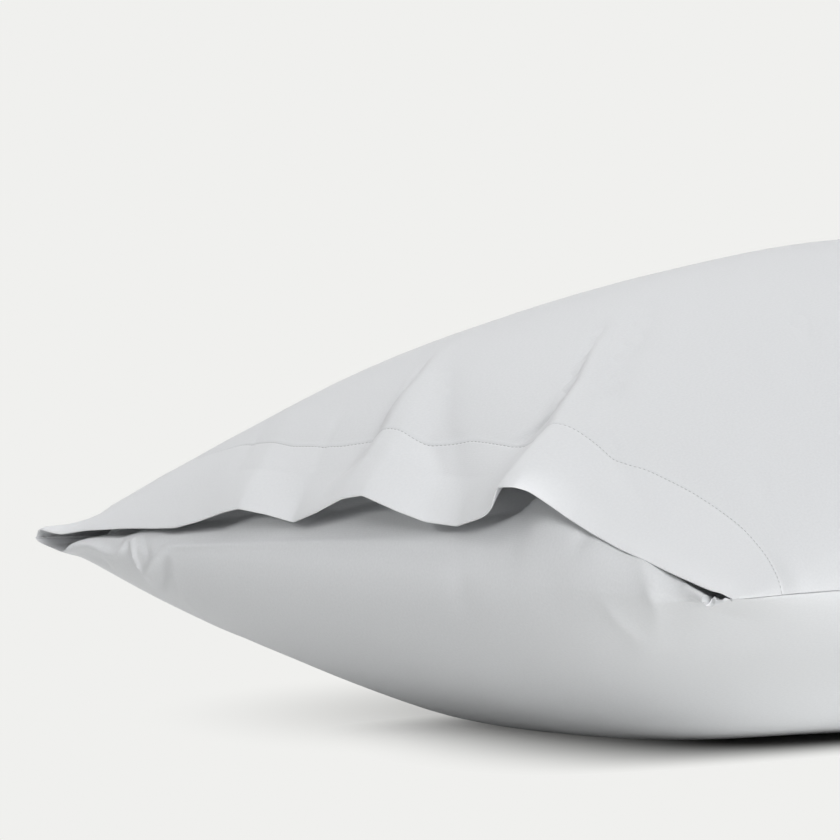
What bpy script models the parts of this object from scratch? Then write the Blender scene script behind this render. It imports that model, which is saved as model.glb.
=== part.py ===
"""Pillowcase on its pillow, lying on its back.

An envelope pillowcase for a 20 x 30 inch pillow, filled and laid flat:
  back_panel_filled  the back panel, which wraps the open end and tucks in
                     under the hem, closed over the volume that fills it
  front_panel        the front panel, one sheet with its deep stitched hem,
                     seamed to the back on three sides and loose at the hem

X runs from the open end (-X) to the sewn end (+X), Y from the near long
side (-Y) to the far one (+Y), Z up. The origin is under the middle of the
bounding box, on the flat patch on which the case lies.

Both pieces are laid on one pillow-shaped shell. A point of the shell is
named by u, -1 at the open end and +1 at the sewn end, and v, -1 at the near
long side and +1 at the far one. Lengths are in metres.
"""

import math

import bmesh
import bpy
from mathutils import Vector

# ---------------------------------------------------------------- dimensions
CM = 0.01

HALF_LENGTH = 35.65 * CM        # corner tips, along X
HALF_WIDTH = 22.88 * CM         # corner tips, along Y
SHIFT_X = 0.695 * CM            # centres the bounding box on the origin

DRAW_SEWN_END = 1.93 * CM       # how far the sewn end pulls in between its tips
BULGE_OPEN_END = 0.86 * CM      # how far the slack open end swells out
DRAW_SIDES = 2.63 * CM          # how far the long sides pull in
DRAW_POWER = 3.05               # the sides turn in close to the tips

SEAM_HEIGHT = 7.53 * CM         # the seam's height above the surface, mid side
TIP_HEIGHT = 7.69 * CM          # and at the four tips
CROWN_UP = 13.73 * CM           # crown above the seam
CROWN_DOWN = 10.77 * CM         # depth below the seam before it is laid down
FLATTEN = 0.84 * CM             # how softly the underside meets the surface
EAR_PINCH = 0.353               # how much flatter the corners are
EAR_RADIUS = 3.9 * CM

PANEL_THICKNESS = 1.5 * CM / 10
PANEL_GAP = 0.3 * CM / 10
SEAM_STEP = 0.9 * CM / 10       # the back panel's edge lies under the front's

ROWS = 28                       # from the hem to the sewn end
COLUMNS = 38                    # from the near side to the far one

CLOTH_COLOUR = (0.66, 0.67, 0.685, 1.0)
CLOTH_ROUGHNESS = 0.55

# The hem's folds, from the far side to the near one. Each row is a line that
# starts on the hem's edge and runs up the panel.
#   v      where it starts across the width
#   u      where the hem's edge lies there
#   lift   how far the edge stands off, in centimetres
#   drift  how far it moves in v for a unit of u
#   reach  the distance in u over which it sinks away
HEM_FOLDS = [
    # v,      u,      lift, drift, reach
    (1.000, -0.996, 0.00, 0.00, 0.05),
    (0.740, -0.993, 0.05, 0.00, 0.05),
    (0.500, -0.991, 0.08, 0.40, 0.05),
    (0.270, -0.986, 0.90, 0.80, 0.06),
    (0.137, -0.987, 0.12, 0.20, 0.06),
    (-0.044, -0.978, 1.25, 0.60, 0.09),
    (-0.110, -0.977, 1.40, 0.70, 0.09),
    (-0.320, -0.981, 0.15, 1.60, 0.10),
    (-0.434, -0.978, 1.30, 1.20, 0.12),
    (-0.500, -0.970, 2.40, 1.00, 0.13),
    (-0.590, -0.971, 1.85, 0.90, 0.14),
    (-0.664, -0.976, 0.85, 0.80, 0.14),
    (-0.796, -0.982, 0.14, 0.60, 0.12),
    (-0.900, -0.989, 0.05, 0.20, 0.08),
    (-1.000, -0.997, 0.00, 0.00, 0.05),
]


# --------------------------------------------------------------------- shell
def clamp01(value):
    return min(max(value, 0.0), 1.0)


def shell_point(u, v, upper):
    """A point of the pillow-shaped shell, upper or lower half."""
    pull = DRAW_SEWN_END if u > 0.0 else -BULGE_OPEN_END
    x = u * (HALF_LENGTH - pull * (1.0 - abs(v) ** DRAW_POWER)) + SHIFT_X
    y = v * (HALF_WIDTH - DRAW_SIDES * (1.0 - abs(u) ** DRAW_POWER))

    along = clamp01(1.0 - abs(u) ** 1.976)
    across = clamp01(1.0 - abs(v) ** 1.813)
    corner = ((1.0 - abs(u)) * HALF_LENGTH) ** 2 + ((1.0 - abs(v)) * HALF_WIDTH) ** 2
    ear = 1.0 - EAR_PINCH * math.exp(-corner / EAR_RADIUS ** 2)
    seam = SEAM_HEIGHT + (TIP_HEIGHT - SEAM_HEIGHT) * (u * v) ** 4

    if upper:
        crown = (along ** 0.569) * (across ** 0.542) * ear
        crown *= (1.0 - 0.057 * along * across) / (1.0 - 0.057)
        return Vector((x, y, seam + CROWN_UP * crown))

    depth = (along ** 0.51) * (across ** 0.633) * ear
    z = seam - SEAM_STEP * max(abs(u), abs(v)) ** 8 - CROWN_DOWN * depth
    if z < -FLATTEN:
        z = 0.0
    elif z < FLATTEN:
        z = (z + FLATTEN) ** 2 / (4.0 * FLATTEN)
    return Vector((x, y, z))


def even_out(t):
    """Grid lines a little closer together towards both edges."""
    return 0.62 * t + 0.38 * math.sin(t * math.pi / 2.0)


def across_table(table, v, column):
    """Read a column of a fold table at v, with straight runs between rows."""
    if v >= table[0][0]:
        return table[0][column]
    for first, second in zip(table, table[1:]):
        if v >= second[0]:
            t = (first[0] - v) / (first[0] - second[0])
            return first[column] + (second[column] - first[column]) * t
    return table[-1][column]


def hem_edge(v):
    return across_table(HEM_FOLDS, v, 1)


def panel_u(row, v):
    """Rows run from the hem's edge (0) to the sewn end (1)."""
    start = hem_edge(v)
    g = 0.5 + 0.5 * math.sin(math.pi * (row - 0.5))
    g = 0.35 * row + 0.65 * g
    return start + (1.0 - start) * g


def fold_lift(u, v):
    """How far the front panel stands off the shell."""
    lines = []
    for start_v, start_u, lift, drift, reach in HEM_FOLDS:
        run = max(u - start_u, 0.0)
        height = lift * CM * math.exp(-(run / reach) ** 1.1)
        lines.append((start_v + drift * min(run, 0.3) * (1.0 - start_v ** 2), height))
    lines.sort(reverse=True)
    return across_table(lines, v, 1)


# ------------------------------------------------------------------- helpers
def new_material(name):
    material = bpy.data.materials.new(name)
    material.use_nodes = True
    shader = material.node_tree.nodes["Principled BSDF"]
    shader.inputs["Base Color"].default_value = CLOTH_COLOUR
    shader.inputs["Roughness"].default_value = CLOTH_ROUGHNESS
    shader.inputs["Metallic"].default_value = 0.0
    return material


def add_object(name, bm, collection):
    mesh = bpy.data.meshes.new(name)
    bm.to_mesh(mesh)
    bm.free()
    mesh.shade_smooth()
    obj = bpy.data.objects.new(name, mesh)
    collection.objects.link(obj)
    mesh.materials.append(new_material(name + "_cloth"))
    return obj


def cloth_grid(bm):
    """A flat grid from -1 to 1, with its vertices keyed by row and column."""
    made = bmesh.ops.create_grid(
        bm, x_segments=ROWS, y_segments=COLUMNS, size=1.0)["verts"]
    grid = {}
    for vert in made:
        row = round((vert.co.x + 1.0) / 2.0 * ROWS)
        column = round((vert.co.y + 1.0) / 2.0 * COLUMNS)
        grid[row, column] = vert
    return grid


def border(grid):
    """The grid's outer vertices, in order round the edge."""
    ring = [grid[row, 0] for row in range(ROWS)]
    ring += [grid[ROWS, column] for column in range(COLUMNS)]
    ring += [grid[row, COLUMNS] for row in range(ROWS, 0, -1)]
    ring += [grid[0, column] for column in range(COLUMNS, 0, -1)]
    return ring


def column_v(column):
    return even_out(2.0 * column / COLUMNS - 1.0)


# -------------------------------------------------------------- front panel
def make_front_panel(collection):
    bm = bmesh.new()
    grid = cloth_grid(bm)

    # First the bare shell, for its normals, then the folds along them.
    for (row, column), vert in grid.items():
        v = column_v(column)
        vert.co = shell_point(panel_u(row / ROWS, v), v, upper=True)
    bm.normal_update()
    lifted = {}
    for (row, column), vert in grid.items():
        v = column_v(column)
        u = panel_u(row / ROWS, v)
        lifted[vert] = vert.co + vert.normal * fold_lift(u, v)
    for vert, co in lifted.items():
        vert.co = co

    panel = add_object("front_panel", bm, collection)
    sheet = panel.modifiers.new("thickness", "SOLIDIFY")
    sheet.thickness = PANEL_THICKNESS
    sheet.offset = -1.0
    return panel


# --------------------------------------------------------- back and filling
def make_back_panel(collection):
    bm = bmesh.new()

    # The face that lies under the front panel follows the same grid, set in
    # by the panel's thickness. Its first row is left for the wrapped end.
    top = cloth_grid(bm)
    for (row, column), vert in top.items():
        v = column_v(column)
        vert.co = shell_point(panel_u(row / ROWS, v), v, upper=True)
    bm.normal_update()
    inset = {}
    for (row, column), vert in top.items():
        co = vert.co - vert.normal * (PANEL_THICKNESS + PANEL_GAP)
        if row == ROWS or column in (0, COLUMNS):
            co.z -= 0.4 * CM / 10
        inset[vert] = co
    for vert, co in inset.items():
        vert.co = co

    # The wrapped end: from under the hem down to the level of the seam.
    under = cloth_grid(bm)
    for (row, column), vert in under.items():
        v = column_v(column)
        g = 0.5 + 0.5 * math.sin(math.pi * (row / ROWS - 0.5))
        u = -1.0 + 2.0 * (0.35 * row / ROWS + 0.65 * g)
        vert.co = shell_point(u, v, upper=False)
    for face in {face for vert in under.values() for face in vert.link_faces}:
        face.normal_flip()

    def edges_round(ring):
        pairs = zip(ring, ring[1:] + ring[:1])
        return [bm.edges.get(pair) for pair in pairs]

    bmesh.ops.bridge_loops(
        bm, edges=edges_round(border(top)) + edges_round(border(under)))
    bmesh.ops.recalc_face_normals(bm, faces=bm.faces)
    if bm.calc_volume(signed=True) < 0.0:
        bmesh.ops.reverse_faces(bm, faces=bm.faces)
    return add_object("back_panel_filled", bm, collection)


def main():
    for obj in list(bpy.data.objects):
        bpy.data.objects.remove(obj, do_unlink=True)
    collection = bpy.data.collections.new("pillowcase")
    bpy.context.scene.collection.children.link(collection)
    make_back_panel(collection)
    make_front_panel(collection)


main()
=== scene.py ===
"""Plain envelope pillowcase on its pillow, lying on its back.

Everything is in metres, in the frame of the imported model: X from the open,
hemmed end (-X) to the sewn end (+X), Y from the near long side to the far one,
Z up. Both panels are laid on one pillow-shaped shell. A point of the shell is
named by u, -1 at the open end and +1 at the sewn end, and v, -1 at the near
long side and +1 at the far one.
"""

import math

import bmesh
import bpy
import numpy as np
from mathutils import Matrix, Vector


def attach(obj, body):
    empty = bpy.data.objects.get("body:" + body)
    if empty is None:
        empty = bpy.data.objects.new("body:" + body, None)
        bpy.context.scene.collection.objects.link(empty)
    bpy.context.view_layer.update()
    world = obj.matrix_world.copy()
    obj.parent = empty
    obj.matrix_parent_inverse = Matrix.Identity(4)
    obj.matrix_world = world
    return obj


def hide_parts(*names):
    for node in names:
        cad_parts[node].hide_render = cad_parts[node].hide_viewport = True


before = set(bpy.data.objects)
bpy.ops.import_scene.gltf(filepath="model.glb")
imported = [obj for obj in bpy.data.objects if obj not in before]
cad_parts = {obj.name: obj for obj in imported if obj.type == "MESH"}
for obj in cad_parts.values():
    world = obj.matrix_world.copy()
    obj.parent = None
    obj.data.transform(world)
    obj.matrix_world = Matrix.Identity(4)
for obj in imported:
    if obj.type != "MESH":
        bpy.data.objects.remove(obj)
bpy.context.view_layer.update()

CM = 0.01
MM = 0.001

# ---------------------------------------------------------------- the shell
HALF_LENGTH = 35.65 * CM
HALF_WIDTH = 22.88 * CM
SHIFT_X = 0.695 * CM
DRAW_SEWN_END = 1.93 * CM
BULGE_OPEN_END = 0.86 * CM
DRAW_SIDES = 2.63 * CM
DRAW_POWER = 3.05
SEAM_HEIGHT = 7.53 * CM
TIP_HEIGHT = 7.69 * CM
CROWN_UP = 13.73 * CM
CROWN_DOWN = 10.77 * CM
FLATTEN = 0.84 * CM
SIDE_FOOT = 0.70 * CM
EAR_PINCH = 0.353
EAR_RADIUS = 3.9 * CM


# The side seams: how far inside the border the stitching lies, and how near to
# the border the cloth bends in to it.
SEAM_TUCK = 0.8 * MM
BORDER = 4e-5


def smooth(t):
    t = np.clip(t, 0.0, 1.0)
    return t * t * (3.0 - 2.0 * t)


def shell(u, v, upper):
    """Points of the shell, upper (True) or lower (False) half."""
    u, v, upper = np.broadcast_arrays(
        np.asarray(u, float), np.asarray(v, float), np.asarray(upper))
    pull = np.where(u > 0.0, DRAW_SEWN_END, -BULGE_OPEN_END)
    x = u * (HALF_LENGTH - pull * (1.0 - np.abs(v) ** DRAW_POWER)) + SHIFT_X
    y = v * (HALF_WIDTH - DRAW_SIDES * (1.0 - np.abs(u) ** DRAW_POWER))
    along = np.clip(1.0 - np.abs(u) ** 1.976, 0.0, 1.0)
    across = np.clip(1.0 - np.abs(v) ** 1.813, 0.0, 1.0)
    corner = ((1.0 - np.abs(u)) * HALF_LENGTH) ** 2 + ((1.0 - np.abs(v)) * HALF_WIDTH) ** 2
    ear = 1.0 - EAR_PINCH * np.exp(-corner / EAR_RADIUS ** 2)
    seam = SEAM_HEIGHT + (TIP_HEIGHT - SEAM_HEIGHT) * (u * v) ** 4
    crown = along ** 0.569 * across ** 0.542 * ear
    crown = crown * (1.0 - 0.057 * along * across) / (1.0 - 0.057)
    top = seam + CROWN_UP * crown
    depth = along ** 0.51 * across ** 0.633 * ear
    z = seam - CROWN_DOWN * depth
    # Along the long sides the underside rolls more slowly down to the floor.
    foot = FLATTEN + SIDE_FOOT * smooth((np.abs(v) - 0.25) / 0.3) * smooth((u + 0.80) / 0.30)
    soft = (np.maximum(z, -foot) + foot) ** 2 / (4.0 * foot)
    under = np.where(z < -foot, 0.0, np.where(z < foot, soft, z))
    return np.stack((x, y, np.where(upper, top, under)), -1)


def grid_normals(points):
    """Outward normals of a grid of points, rows along X and columns along Y."""
    down = np.gradient(points, axis=0)
    side = np.gradient(points, axis=1)
    n = np.cross(down, side)
    length = np.linalg.norm(n, axis=-1, keepdims=True)
    return n / np.maximum(length, 1e-12)


def spread(count, weight, low=-1.0, high=1.0):
    """count + 1 values from low to high, closer together where weight is large."""
    t = np.linspace(low, high, 4001)
    w = weight(t)
    total = np.concatenate(([0.0], np.cumsum((w[1:] + w[:-1]) / 2.0)))
    return np.interp(np.linspace(0.0, total[-1], count + 1), total, t)


def ripple(a, b, size, seed, waves=14):
    """A smooth uneven field over two lengths, about -1 to 1."""
    rng = np.random.default_rng(seed)
    out = np.zeros(np.broadcast(a, b).shape)
    for _ in range(waves):
        angle = rng.uniform(0.0, math.tau)
        k = math.tau / (size * rng.uniform(0.7, 1.6))
        out += np.cos(k * (a * math.cos(angle) + b * math.sin(angle)) + rng.uniform(0.0, math.tau))
    return out / math.sqrt(waves / 2.0) / 2.0


# ------------------------------------------------------- folds of the hem
# Where the hem's free edge lies, from the far long side to the near one.
HEM_EDGE = [
    # v,     u,       lift in cm
    (1.000, -0.9960, 0.00),
    (0.990, -0.9960, 0.20),
    (0.965, -0.9960, 0.20),
    (0.930, -0.9960, 0.08),
    (0.893, -0.9960, 0.00),
    (0.813, -0.9937, 0.01),
    (0.736, -0.9935, 0.02),
    (0.669, -0.9929, 0.02),
    (0.568, -0.9927, 0.02),
    (0.500, -0.9922, 0.03),
    (0.424, -0.9896, 0.20),
    (0.325, -0.9865, 0.65),
    (0.267, -0.9855, 0.90),
    (0.202, -0.9859, 0.50),
    (0.137, -0.9874, 0.10),
    (0.039, -0.9849, 0.80),
    (-0.044, -0.9792, 1.25),
    (-0.104, -0.9774, 1.40),
    (-0.185, -0.9811, 0.90),
    (-0.250, -0.9828, 0.40),
    (-0.321, -0.9818, 0.17),
    (-0.345, -0.9812, 0.38),
    (-0.375, -0.9808, 0.64),
    (-0.402, -0.9800, 0.84),
    (-0.420, -0.9792, 1.00),
    (-0.436, -0.9783, 1.18),
    (-0.455, -0.9765, 1.48),
    (-0.470, -0.9738, 1.88),
    (-0.486, -0.9706, 2.30),
    (-0.506, -0.9706, 2.40),
    (-0.523, -0.9691, 2.30),
    (-0.540, -0.9667, 1.90),
    (-0.554, -0.9668, 1.58),
    (-0.570, -0.9674, 1.28),
    (-0.586, -0.9684, 1.05),
    (-0.612, -0.9703, 0.75),
    (-0.664, -0.9742, 0.40),
    (-0.732, -0.9790, 0.18),
    (-0.796, -0.9818, 0.08),
    (-0.901, -0.9890, 0.02),
    (-0.956, -0.9950, 0.00),
    (-1.000, -0.9965, 0.00),
]

# The hem's line of stitches.
STITCH_LINE = [
    # v,     u
    (1.000, -0.9000),
    (0.500, -0.9000),
    (0.400, -0.9080),
    (0.300, -0.9180),
    (0.150, -0.9200),
    (0.060, -0.9140),
    (0.000, -0.9110),
    (-0.030, -0.9110),
    (-0.070, -0.9140),
    (-0.100, -0.9150),
    (-0.150, -0.9100),
    (-0.210, -0.9040),
    (-0.300, -0.9030),
    (-0.350, -0.9000),
    (-0.400, -0.8940),
    (-0.450, -0.8875),
    (-0.480, -0.8850),
    (-0.516, -0.8857),
    (-0.553, -0.8893),
    (-0.583, -0.8926),
    (-0.618, -0.8898),
    (-0.643, -0.8863),
    (-0.705, -0.8842),
    (-0.767, -0.8825),
    (-0.870, -0.8836),
    (-0.914, -0.8880),
    (-0.950, -0.8935),
    (-0.985, -0.9035),
    (-1.000, -0.9090),
]

# The ridges and hollows that run up the panel from the hem. Each row is one
# line; it is at v with that lift, in cm, at the hem's edge (e), half way to
# the stitches (m), on the stitches (s) and at u = -0.80 (p), -0.70 (q) and
# -0.60 (r).
FOLD_LINES = [
    # v_e,   e,     v_m,   m,     v_s,   s,     v_p,   p,     v_q,   q,    v_r,   r
    (1.000, 0.00, 1.000, 0.00, 1.000, 0.00, 1.000, 0.00, 1.000, 0.00, 1.000, 0.00),
    (0.990, 0.20, 0.990, 0.10, 0.990, 0.03, 0.990, 0.00, 0.990, 0.00, 0.990, 0.00),
    (0.960, 0.20, 0.960, 0.08, 0.960, 0.02, 0.960, 0.00, 0.960, 0.00, 0.960, 0.00),
    (0.893, 0.00, 0.893, 0.00, 0.893, 0.00, 0.900, 0.00, 0.900, 0.00, 0.910, 0.00),
    (0.740, 0.02, 0.750, 0.01, 0.760, 0.00, 0.800, 0.00, 0.820, 0.00, 0.840, 0.00),
    (0.500, 0.03, 0.520, 0.02, 0.540, 0.00, 0.640, 0.00, 0.690, 0.00, 0.720, 0.00),
    (0.424, 0.20, 0.450, 0.09, 0.470, 0.02, 0.600, 0.00, 0.660, 0.00, 0.700, 0.00),
    (0.325, 0.65, 0.365, 0.30, 0.405, 0.11, 0.555, 0.00, 0.620, 0.00, 0.660, 0.00),
    (0.267, 0.90, 0.310, 0.42, 0.370, 0.17, 0.530, 0.00, 0.600, 0.00, 0.640, 0.00),
    (0.202, 0.50, 0.240, 0.24, 0.290, 0.09, 0.420, 0.00, 0.520, 0.00, 0.580, 0.00),
    (0.137, 0.10, 0.168, 0.08, 0.205, 0.04, 0.300, 0.00, 0.420, 0.00, 0.500, 0.00),
    (0.090, 0.45, 0.050, 0.20, 0.062, 0.05, 0.190, 0.01, 0.300, 0.00, 0.400, 0.00),
    (-0.044, 1.25, -0.018, 0.94, 0.010, 0.73, 0.145, 0.24, 0.270, 0.06, 0.370, 0.00),
    (-0.104, 1.40, -0.085, 1.05, -0.040, 0.68, 0.115, 0.18, 0.230, 0.05, 0.340, 0.00),
    (-0.185, 0.90, -0.138, 0.60, -0.072, 0.34, 0.085, 0.02, 0.180, 0.02, 0.290, 0.00),
    (-0.250, 0.40, -0.196, 0.06, -0.107, 0.02, 0.040, 0.10, 0.130, 0.03, 0.240, 0.00),
    (-0.321, 0.15, -0.280, 0.12, -0.190, 0.14, -0.050, 0.08, 0.030, 0.03, 0.140, 0.00),
    (-0.345, 0.38, -0.322, 0.26, -0.250, 0.18, -0.160, 0.06, -0.060, 0.00, 0.040, 0.00),
    (-0.375, 0.64, -0.362, 0.42, -0.352, 0.16, -0.277, 0.02, -0.150, 0.00, -0.020, 0.00),
    (-0.436, 1.18, -0.425, 1.04, -0.396, 0.68, -0.300, 0.30, -0.170, 0.10, -0.050, 0.00),
    (-0.486, 2.30, -0.460, 1.88, -0.430, 1.39, -0.326, 0.68, -0.190, 0.23, -0.070, 0.00),
    (-0.523, 2.30, -0.495, 1.85, -0.460, 1.35, -0.360, 0.62, -0.225, 0.20, -0.120, 0.00),
    (-0.554, 1.58, -0.528, 1.38, -0.490, 1.08, -0.385, 0.54, -0.255, 0.17, -0.150, 0.00),
    (-0.586, 1.05, -0.560, 0.98, -0.520, 0.84, -0.410, 0.44, -0.290, 0.13, -0.190, 0.00),
    (-0.612, 0.75, -0.592, 0.72, -0.560, 0.62, -0.460, 0.32, -0.350, 0.09, -0.260, 0.00),
    (-0.664, 0.40, -0.650, 0.41, -0.625, 0.37, -0.540, 0.18, -0.450, 0.04, -0.380, 0.00),
    (-0.732, 0.18, -0.720, 0.19, -0.700, 0.18, -0.630, 0.08, -0.560, 0.01, -0.500, 0.00),
    (-0.796, 0.08, -0.790, 0.08, -0.780, 0.07, -0.730, 0.03, -0.680, 0.00, -0.640, 0.00),
    (-0.901, 0.02, -0.895, 0.03, -0.890, 0.02, -0.860, 0.00, -0.840, 0.00, -0.820, 0.00),
    (-1.000, 0.00, -1.000, 0.00, -1.000, 0.00, -1.000, 0.00, -1.000, 0.00, -1.000, 0.00),
]
STATIONS = (0.0, 1.0, 2.0, 3.0, 4.0, 5.0)

# Where the wrapped end turns in under the hem. Below this line it is seen and
# lit, and above it the cloth falls back into the shade of the hem. The place is
# an angle round the end: 0 is the end's own edge, and above it is positive.
LIP = [
    # v,     angle
    (1.000, -0.020),
    (0.975, -0.110),
    (0.950, -0.150),
    (0.920, -0.145),
    (0.890, -0.100),
    (0.850, 0.000),
    (0.829, 0.044),
    (0.806, 0.066),
    (0.763, 0.078),
    (0.727, 0.080),
    (0.701, 0.076),
    (0.678, 0.084),
    (0.660, 0.095),
    (0.633, 0.114),
    (0.590, 0.118),
    (0.552, 0.114),
    (0.519, 0.107),
    (0.457, 0.117),
    (0.369, 0.133),
    (0.330, 0.156),
    (0.291, 0.178),
    (0.252, 0.186),
    (0.193, 0.180),
    (0.140, 0.160),
    (0.126, 0.152),
    (0.068, 0.169),
    (0.008, 0.193),
    (-0.034, 0.215),
    (-0.081, 0.230),
    (-0.121, 0.234),
    (-0.183, 0.226),
    (-0.235, 0.205),
    (-0.255, 0.182),
    (-0.330, 0.190),
    (-0.375, 0.211),
    (-0.414, 0.243),
    (-0.448, 0.273),
    (-0.460, 0.303),
    (-0.475, 0.322),
    (-0.539, 0.310),
    (-0.628, 0.262),
    (-0.719, 0.225),
    (-0.794, 0.197),
    (-0.873, 0.165),
    (-0.889, 0.150),
    (-0.904, 0.128),
    (-0.922, 0.104),
    (-0.940, 0.050),
    (-0.949, 0.010),
    (-0.953, -0.100),
    (-0.958, -0.010),
    (-0.970, -0.035),
    (-0.982, -0.015),
    (-0.992, 0.027),
    (-1.000, 0.060),
]

# How far the filling swells out where it carries the hem.
SWELL = [
    # v,     cm
    (1.000, 0.00),
    (-0.400, 0.00),
    (-0.460, 0.24),
    (-0.500, 0.62),
    (-0.540, 0.88),
    (-0.565, 0.88),
    (-0.590, 0.79),
    (-0.612, 0.68),
    (-0.664, 0.52),
    (-0.732, 0.35),
    (-0.796, 0.26),
    (-0.840, 0.22),
    (-0.880, 0.17),
    (-0.900, 0.10),
    (-0.940, 0.00),
    (-1.000, 0.00),
]

# Ridges (+) and hollows (-) pressed into the wrapped end and the underside.
# Each is its height and half width in mm and the points it runs through.
BODY_CREASES = [
    # At the far corner, where the spare cloth of the flap bunches up.
    (1.3, 1.9, ((-0.093, 0.890, 0.5), (-0.080, 0.867, 1.0), (0.000, 0.797, 1.0), (-0.008, 0.759, 1.0),
                (-0.035, 0.725, 1.0), (-0.036, 0.695, 1.0), (-0.002, 0.670, 1.0), (0.054, 0.656, 0.6),
                (0.068, 0.640, 0.3))),
    (-0.8, 2.6, ((0.055, 0.750, 0.6), (0.030, 0.705, 1.0), (0.055, 0.682, 0.6))),
    (-0.9, 3.2, ((-0.100, 0.830, 0.4), (-0.106, 0.785, 1.0), (-0.128, 0.752, 1.0), (-0.190, 0.745, 0.5))),
    (1.2, 1.7, ((0.060, 0.640, 0.5), (0.021, 0.631, 1.0), (-0.064, 0.623, 1.0), (-0.131, 0.618, 1.0),
                (-0.186, 0.624, 0.7), (-0.240, 0.640, 0.2))),
    (-0.7, 2.6, ((0.068, 0.602, 0.7), (0.028, 0.590, 1.0), (-0.014, 0.580, 1.0), (-0.050, 0.590, 0.5))),
    # The folded edge of the flap inside, showing through.
    (1.2, 1.9, ((0.136, -0.300, 0.1), (0.131, -0.130, 0.35), (0.113, 0.000, 0.5), (0.099, 0.113, 0.6),
                (0.086, 0.231, 0.75), (0.070, 0.352, 0.9), (0.057, 0.445, 1.0), (0.046, 0.509, 1.0),
                (0.008, 0.534, 1.2), (-0.049, 0.566, 1.3), (-0.110, 0.597, 0.9), (-0.140, 0.610, 0.3))),
    (-1.4, 3.4, ((-0.050, 0.525, 0.5), (-0.110, 0.548, 1.0), (-0.170, 0.575, 1.0), (-0.240, 0.620, 0.4))),
    (0.8, 2.4, ((-0.025, 0.497, 0.4), (-0.160, 0.511, 1.0), (-0.271, 0.539, 0.8), (-0.340, 0.560, 0.2))),
    # The lower lip of the far corner hangs.
    (2.0, 9.0, ((-0.060, 0.992, 0.5), (-0.120, 0.975, 0.9), (-0.170, 0.950, 1.0), (-0.160, 0.920, 0.9),
                (-0.100, 0.890, 0.3))),
    # Soft swellings and hollows of the filling low on the wrapped end.
    (0.9, 25.0, ((-0.410, 0.690, 0.8), (-0.483, 0.616, 1.0), (-0.500, 0.570, 0.5))),
    (-0.5, 30.0, ((-0.563, 0.440, 1.0), (-0.617, 0.381, 0.8))),
    # A soft hollow runs down beside the lifted hem.
    (-1.1, 11.0, ((0.270, -0.545, 0.6), (0.200, -0.565, 1.0), (0.100, -0.585, 0.9), (-0.020, -0.600, 0.3))),
    # Puckers that run down from the near corner.
    (1.1, 3.6, ((0.205, -0.775, 0.6), (0.137, -0.801, 1.0), (0.048, -0.824, 1.0), (-0.163, -0.819, 0.8),
                (-0.386, -0.741, 0.4))),
    (0.8, 4.0, ((-0.020, -0.712, 0.3), (-0.166, -0.722, 1.0), (-0.321, -0.725, 1.0), (-0.460, -0.665, 0.4))),
    (-1.8, 5.0, ((0.140, -0.850, 0.5), (0.060, -0.872, 1.0), (-0.020, -0.900, 1.0), (-0.040, -0.925, 0.5))),
    (0.8, 1.3, ((-0.062, -0.841, 0.2), (-0.076, -0.885, 0.7), (-0.100, -0.926, 1.0), (-0.137, -0.940, 1.0))),
    (2.4, 2.3, ((0.120, -0.893, 0.3), (0.060, -0.925, 0.8), (0.000, -0.942, 1.0), (-0.070, -0.950, 1.1),
                (-0.130, -0.947, 0.6))),
    (-2.6, 0.8, ((0.030, -0.962, 1.0), (-0.080, -0.956, 1.0), (-0.145, -0.951, 0.6))),
    (1.1, 1.2, ((-0.090, -0.963, 1.0), (-0.068, -0.982, 1.0), (0.040, -0.996, 0.4))),
    (-0.9, 5.0, ((-0.260, -0.918, 0.5), (-0.340, -0.918, 1.0), (-0.430, -0.922, 0.5))),
    (-0.9, 4.0, ((0.260, -0.652, 0.5), (0.200, -0.642, 1.0), (0.150, -0.636, 0.4))),
    (-0.5, 6.0, ((0.120, -0.330, 0.3), (0.000, -0.345, 1.0), (-0.150, -0.350, 0.4))),
]

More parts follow.
